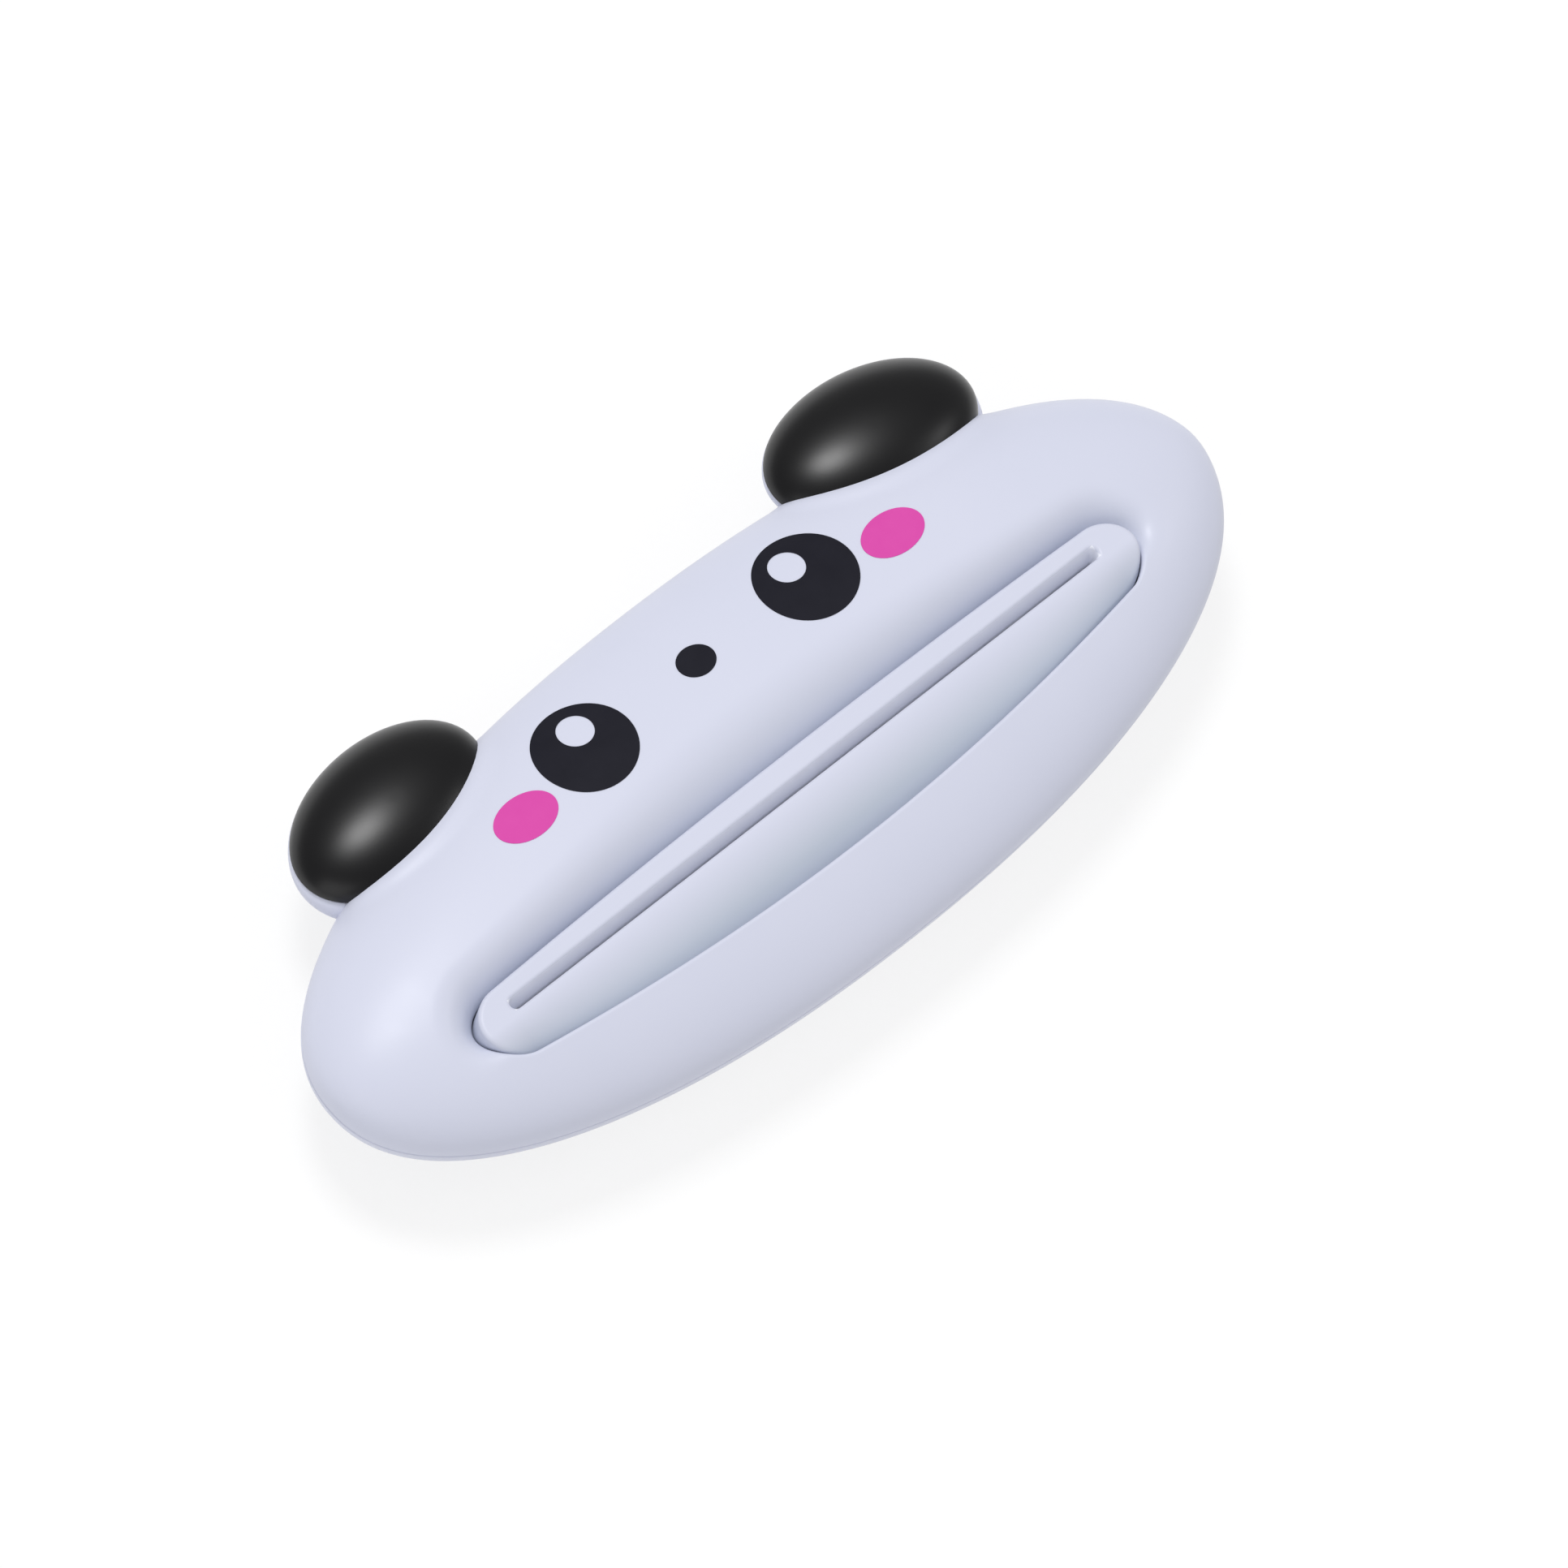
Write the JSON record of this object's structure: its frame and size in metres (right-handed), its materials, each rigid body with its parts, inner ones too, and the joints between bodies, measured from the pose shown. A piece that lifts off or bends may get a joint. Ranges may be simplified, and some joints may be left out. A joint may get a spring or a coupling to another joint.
{
  "type": "toothpaste tube squeezer",
  "caption": "Toothpaste tube squeezer in gloss plastic with a panda face, black ears and a long slotted mouth that a tube's flat end is drawn through",
  "frame": {"origin": "on the plane the back rests on, under the middle of the bounding box", "axes": "+X along the slot, towards the ear on the viewer's right; +Y across the face, from the lower lip towards the ears; +Z out of the face"},
  "size_m": [0.092, 0.0389, 0.0156],
  "materials": {
    "shell_white": "satin gloss",
    "back_white": "satin gloss",
    "insert_white": "satin gloss",
    "left_ear_black": "satin",
    "right_ear_black": "satin",
    "left_eye_ink": "printed ink",
    "right_eye_ink": "printed ink",
    "nose_ink": "printed ink",
    "left_cheek_ink": "printed ink",
    "right_cheek_ink": "printed ink"
  },
  "bodies": {
    "root": {"front_shell": "shell_white", "rear_shell": "back_white", "slot_throat": "insert_white", "left_ear": "left_ear_black", "right_ear": "right_ear_black", "left_eye": "left_eye_ink", "right_eye": "right_eye_ink", "nose": "nose_ink", "left_cheek": "left_cheek_ink", "right_cheek": "right_cheek_ink"}
  },
  "joints": []
}
